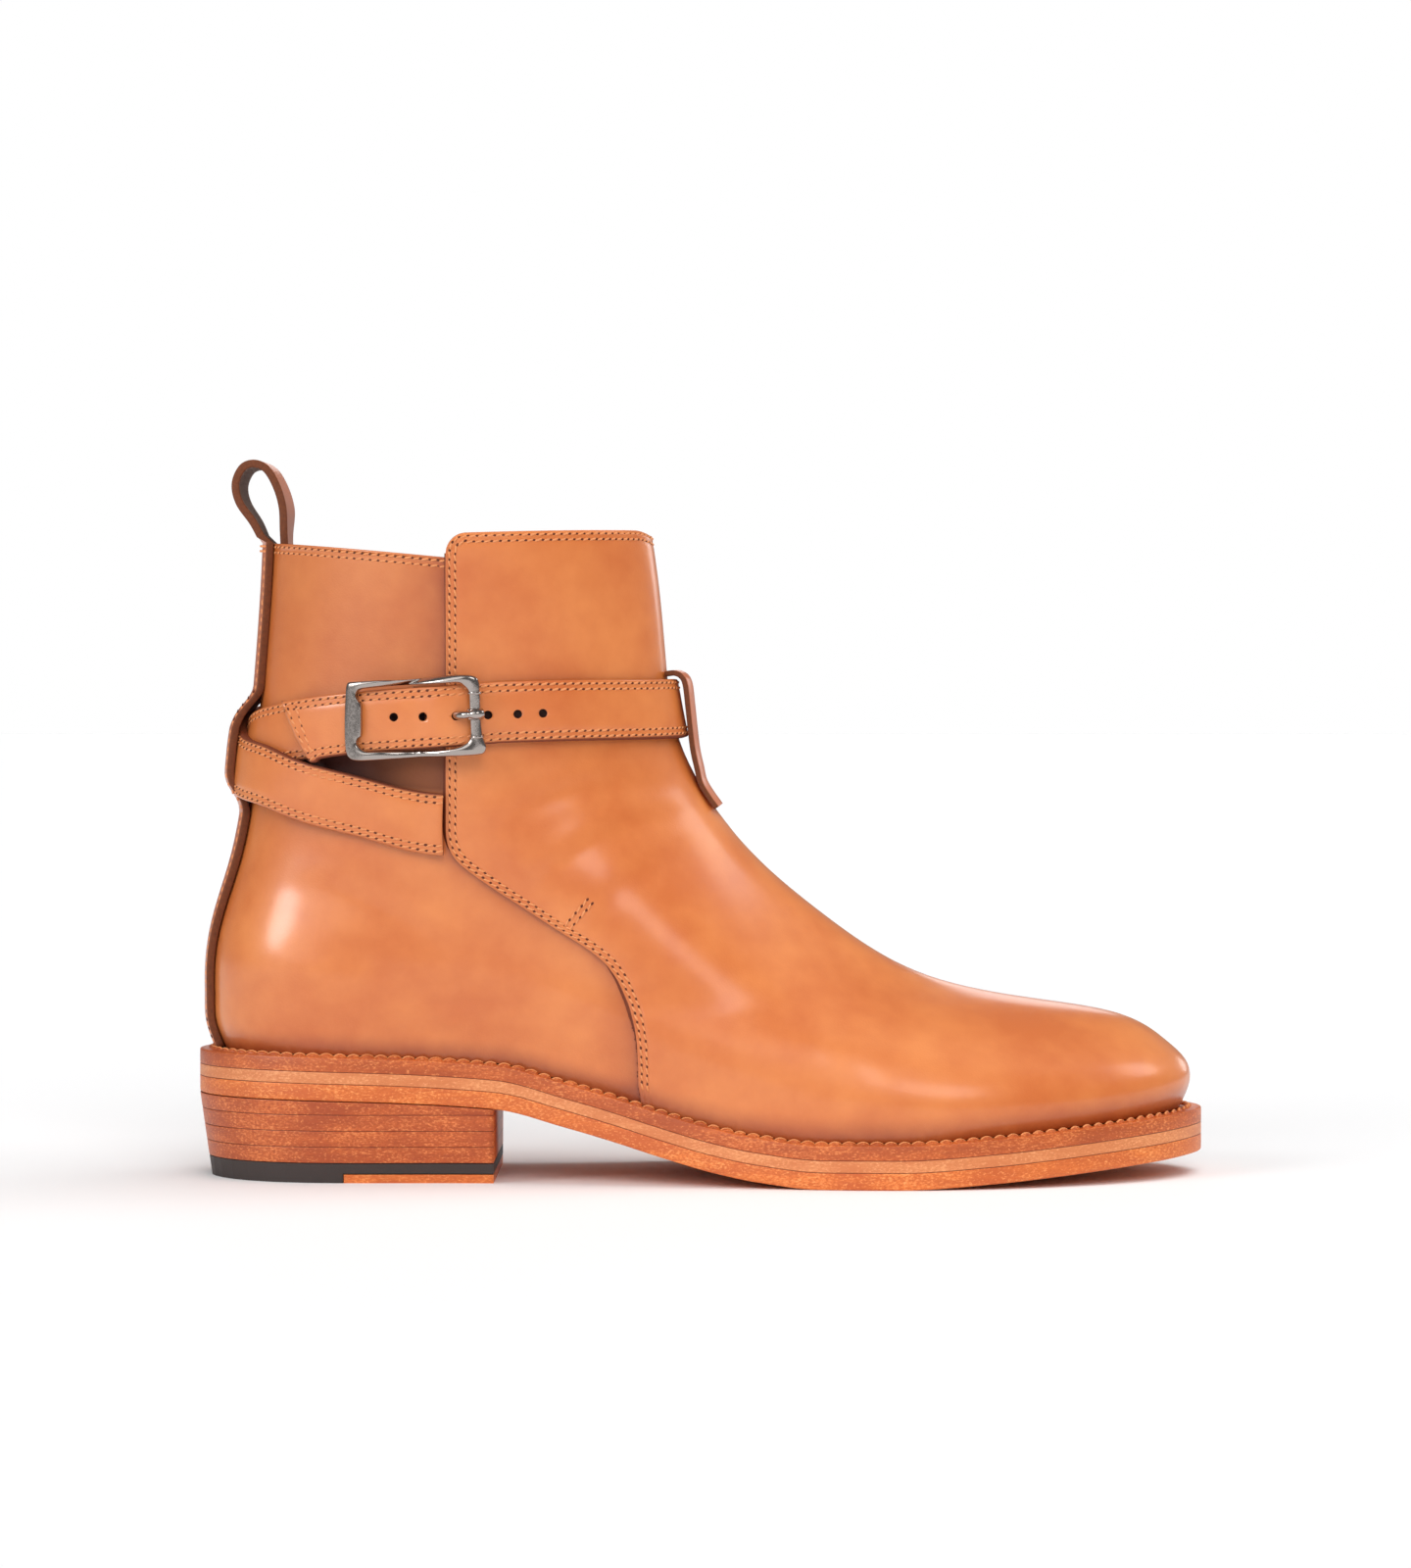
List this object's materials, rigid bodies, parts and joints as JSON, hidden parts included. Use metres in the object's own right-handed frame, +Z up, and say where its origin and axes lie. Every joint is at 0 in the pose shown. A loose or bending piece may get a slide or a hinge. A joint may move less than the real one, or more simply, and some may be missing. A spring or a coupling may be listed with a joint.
{
  "type": "jodhpur boot",
  "caption": "Right ankle boot with crossed straps and a buckle on its outer side, a back pull loop, a welted leather sole and a stacked heel.",
  "frame": {"origin": "middle of the heel's bottom face, on the floor", "axes": "+X towards the toe, +Y towards the inner side of the foot, +Z up"},
  "size_m": [0.308, 0.1086, 0.2197],
  "materials": {
    "upper_leather": "smooth burnished tan",
    "strip_leather": "tan with raw edges",
    "sole_leather": "waxed edges",
    "midsole_leather": "natural edges",
    "insole_leather": "natural",
    "rubber": "matt",
    "steel": "tumbled"
  },
  "bodies": {
    "root": {"toplift_rubber": "rubber", "toplift_leather": "sole_leather", "heel_lift_4": "sole_leather", "heel_lift_3": "sole_leather", "heel_lift_2": "sole_leather", "heel_lift_1": "sole_leather", "outsole": "sole_leather", "midsole": "midsole_leather", "welt": "sole_leather", "insole": "insole_leather", "upper": "upper_leather", "ankle_strap": "upper_leather", "buckle_strap": "upper_leather", "buckle_frame": "steel", "buckle_prong": "steel", "back_strip": "strip_leather", "front_keeper": "strip_leather"}
  },
  "joints": []
}
